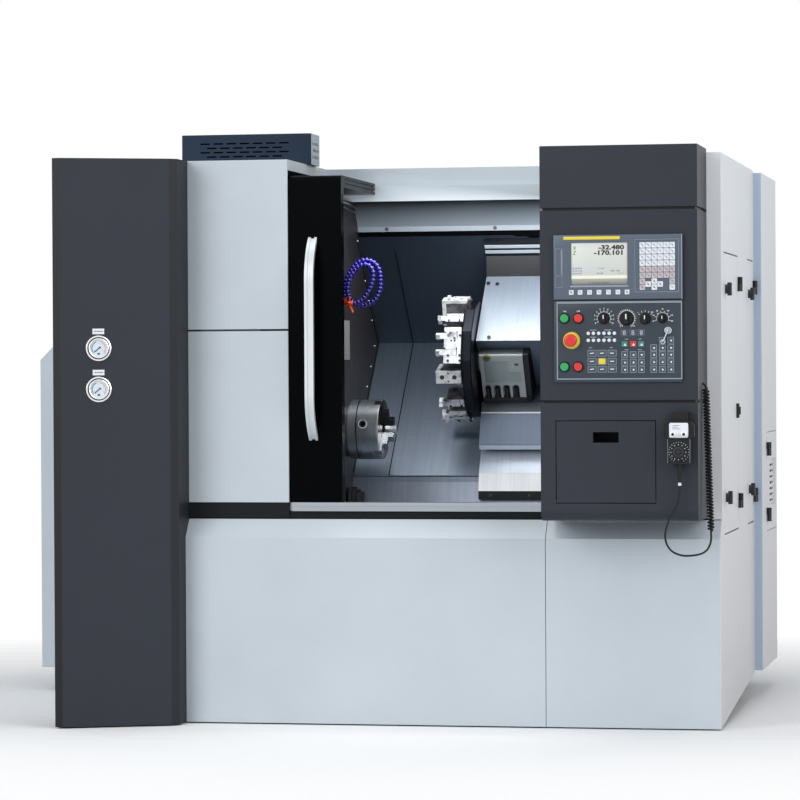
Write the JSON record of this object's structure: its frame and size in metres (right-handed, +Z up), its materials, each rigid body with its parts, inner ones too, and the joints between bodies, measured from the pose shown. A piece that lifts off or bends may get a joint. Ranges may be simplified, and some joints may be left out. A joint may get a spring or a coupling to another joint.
{
  "type": "cnc turning lathe",
  "caption": "Enclosed slant-bed turning lathe with sliding door, jaw chuck, indexing turret, operator panel and hand pendant.",
  "frame": {"origin": "on the floor, in the middle of the footprint", "axes": "+Z up, +X to the operator's right along the spindle, +Y to the back"},
  "size_m": [2.594, 2.0004, 1.933],
  "materials": {
    "light_paint": "powder-coated, light grey",
    "dark_paint": "powder-coated, charcoal",
    "side_paint": "powder-coated, warm grey",
    "black_gloss": "gloss black",
    "navy_paint": "painted, dark blue",
    "aluminium": "brushed",
    "liner_steel": "oiled sheet steel",
    "bright_steel": "ground",
    "dark_steel": "blackened",
    "cast_iron": "painted casting",
    "chrome": "polished",
    "black_plastic": "moulded, matt",
    "keypad": "membrane and keycaps",
    "display": "bezel and screen",
    "blue_plastic": "moulded",
    "orange_plastic": "moulded",
    "red_plastic": "moulded",
    "green_plastic": "moulded",
    "black_rubber": "matt",
    "window": "laminated"
  },
  "bodies": {
    "machine": {"base_bed": "dark_steel", "levelling_feet": "dark_steel", "lower_front_panels": "light_paint", "left_front_panels": "light_paint", "left_cover": "dark_paint", "left_end_housing": "light_paint", "roof": "light_paint", "back_panels": "light_paint", "sill_rail": "aluminium", "header": "aluminium", "right_skin": "side_paint", "rear_cabinet": "side_paint", "vent_box": "navy_paint", "chamber_left_wall": "liner_steel", "chamber_liner": "liner_steel", "headstock": "cast_iron", "spindle_motor": "dark_paint", "drive_belt": "black_rubber", "z_rails": "bright_steel", "control_housing": "dark_paint", "lcd_unit": "display", "operator_panel": "display", "hinges": "black_plastic", "pendant_body": "black_plastic", "pendant_cable": "black_rubber", "curly_cord": "black_rubber", "coolant_hose": "blue_plastic", "coolant_nozzle": "orange_plastic", "pressure_gauges": "chrome"},
    "door": {"door_frame": "black_gloss", "door_window": "window", "door_handle": "aluminium"},
    "spindle": {"spindle": "bright_steel", "chuck_body": "dark_steel"},
    "jaw_1": {"chuck_jaw_1": "bright_steel"},
    "jaw_2": {"chuck_jaw_2": "bright_steel"},
    "jaw_3": {"chuck_jaw_3": "bright_steel"},
    "motor_pulley": {"motor_pulley": "dark_steel"},
    "saddle": {"saddle": "cast_iron", "saddle_cover": "bright_steel"},
    "way_cover": {"way_cover_mid": "liner_steel"},
    "z_screw": {"z_screw": "bright_steel"},
    "cross_slide": {"cross_slide": "cast_iron", "turret_housing": "cast_iron"},
    "turret": {"turret_disc": "dark_steel", "tool_holders": "bright_steel"},
    "side_door_front": {"side_door_front": "side_paint"},
    "side_door_rear": {"side_door_rear": "side_paint"},
    "cabinet_door": {"cabinet_door": "side_paint"},
    "access_door": {"access_door": "dark_paint"},
    "emergency_stop": {"emergency_stop": "red_plastic"},
    "button_start": {"button_start": "green_plastic"},
    "button_hold": {"button_hold": "red_plastic"},
    "button_power_on": {"button_power_on": "green_plastic"},
    "button_power_off": {"button_power_off": "green_plastic"},
    "mode_knob": {"mode_knob": "black_plastic"},
    "feed_knob": {"feed_knob": "black_plastic"},
    "rapid_knob": {"rapid_knob": "black_plastic"},
    "spindle_knob": {"spindle_knob": "black_plastic"},
    "pendant_dial": {"pendant_dial": "black_plastic"}
  },
  "joints": [
    {"name": "door_slide", "type": "slide", "parent": "machine", "child": "door", "axis": [1, 0, 0], "range_m": [0, 0.69]},
    {"name": "spindle_turn", "type": "hinge", "parent": "machine", "child": "spindle", "pos_m": [0.153, -0.21817, 0.945], "axis": [1, 0, 0], "continuous": true},
    {"name": "jaw_1_slide", "type": "slide", "parent": "spindle", "child": "jaw_1", "axis": [0, -0.5736, -0.8192], "range_m": [-0.006, 0.004]},
    {"name": "jaw_2_slide", "type": "slide", "parent": "spindle", "child": "jaw_2", "axis": [0, 0.9962, -0.0872], "range_m": [-0.006, 0.004]},
    {"name": "jaw_3_slide", "type": "slide", "parent": "spindle", "child": "jaw_3", "axis": [0, -0.4226, 0.9063], "range_m": [-0.006, 0.004]},
    {"name": "motor_pulley_turn", "type": "hinge", "parent": "machine", "child": "motor_pulley", "pos_m": [0.153, -0.09817, 0.5], "axis": [1, 0, 0], "continuous": true},
    {"name": "z_slide", "type": "slide", "parent": "machine", "child": "saddle", "axis": [1, 0, 0], "range_m": [-0.09, 0.28]},
    {"name": "way_cover_slide", "type": "slide", "parent": "machine", "child": "way_cover", "axis": [1, 0, 0], "range_m": [-0.045, 0.14]},
    {"name": "z_screw_turn", "type": "hinge", "parent": "machine", "child": "z_screw", "pos_m": [0.153, 0.15146, 0.96078], "axis": [1, 0, 0], "range_deg": [-3241, 10081]},
    {"name": "x_slide", "type": "slide", "parent": "saddle", "child": "cross_slide", "axis": [0, -0.7071, -0.7071], "range_m": [0, 0.15]},
    {"name": "turret_index", "type": "hinge", "parent": "cross_slide", "child": "turret", "pos_m": [0.153, -0.06342, 1.18006], "axis": [1, 0, 0], "continuous": true},
    {"name": "side_door_front_hinge", "type": "hinge", "parent": "machine", "child": "side_door_front", "pos_m": [1.261, -0.12717, 1.064], "axis": [0, 0, 1], "range_deg": [0, 110]},
    {"name": "side_door_rear_hinge", "type": "hinge", "parent": "machine", "child": "side_door_rear", "pos_m": [1.261, 0.40317, 1.064], "axis": [0, 0, 1], "range_deg": [0, 90]},
    {"name": "cabinet_door_hinge", "type": "hinge", "parent": "machine", "child": "cabinet_door", "pos_m": [1.289, 0.60917, 0.743], "axis": [0, 0, -1], "range_deg": [0, 110]},
    {"name": "access_door_hinge", "type": "hinge", "parent": "machine", "child": "access_door", "pos_m": [0.919, -0.93517, 0.731], "axis": [1, 0, 0], "range_deg": [0, 95]},
    {"name": "emergency_stop_press", "type": "slide", "parent": "machine", "child": "emergency_stop", "axis": [0, 1, 0], "range_m": [0, 0.006], "stiffness_N_per_m": 1500},
    {"name": "button_start_press", "type": "slide", "parent": "machine", "child": "button_start", "axis": [0, 1, 0], "range_m": [0, 0.003], "stiffness_N_per_m": 800},
    {"name": "button_hold_press", "type": "slide", "parent": "machine", "child": "button_hold", "axis": [0, 1, 0], "range_m": [0, 0.003], "stiffness_N_per_m": 800},
    {"name": "button_power_on_press", "type": "slide", "parent": "machine", "child": "button_power_on", "axis": [0, 1, 0], "range_m": [0, 0.003], "stiffness_N_per_m": 800},
    {"name": "button_power_off_press", "type": "slide", "parent": "machine", "child": "button_power_off", "axis": [0, 1, 0], "range_m": [0, 0.003], "stiffness_N_per_m": 800},
    {"name": "mode_knob_turn", "type": "hinge", "parent": "machine", "child": "mode_knob", "pos_m": [0.917, -0.95817, 1.301], "axis": [0, 1, 0], "range_deg": [-135, 135]},
    {"name": "feed_knob_turn", "type": "hinge", "parent": "machine", "child": "feed_knob", "pos_m": [0.988, -0.95817, 1.3], "axis": [0, 1, 0], "range_deg": [-135, 135]},
    {"name": "rapid_knob_turn", "type": "hinge", "parent": "machine", "child": "rapid_knob", "pos_m": [1.046, -0.95817, 1.299], "axis": [0, 1, 0], "range_deg": [-135, 135]},
    {"name": "spindle_knob_turn", "type": "hinge", "parent": "machine", "child": "spindle_knob", "pos_m": [1.1, -0.95817, 1.299], "axis": [0, 1, 0], "range_deg": [-135, 135]},
    {"name": "pendant_dial_turn", "type": "hinge", "parent": "machine", "child": "pendant_dial", "pos_m": [1.153, -0.99317, 0.886], "axis": [0, 1, 0], "continuous": true}
  ],
  "couplings": [
    {"joint": "jaw_2_slide", "follows": "jaw_1_slide", "ratio": 1},
    {"joint": "jaw_3_slide", "follows": "jaw_1_slide", "ratio": 1},
    {"joint": "motor_pulley_turn", "follows": "spindle_turn", "ratio": 1.5},
    {"joint": "way_cover_slide", "follows": "z_slide", "ratio": 0.5},
    {"joint": "z_screw_turn", "follows": "z_slide", "rad_per_m": 628.32}
  ]
}
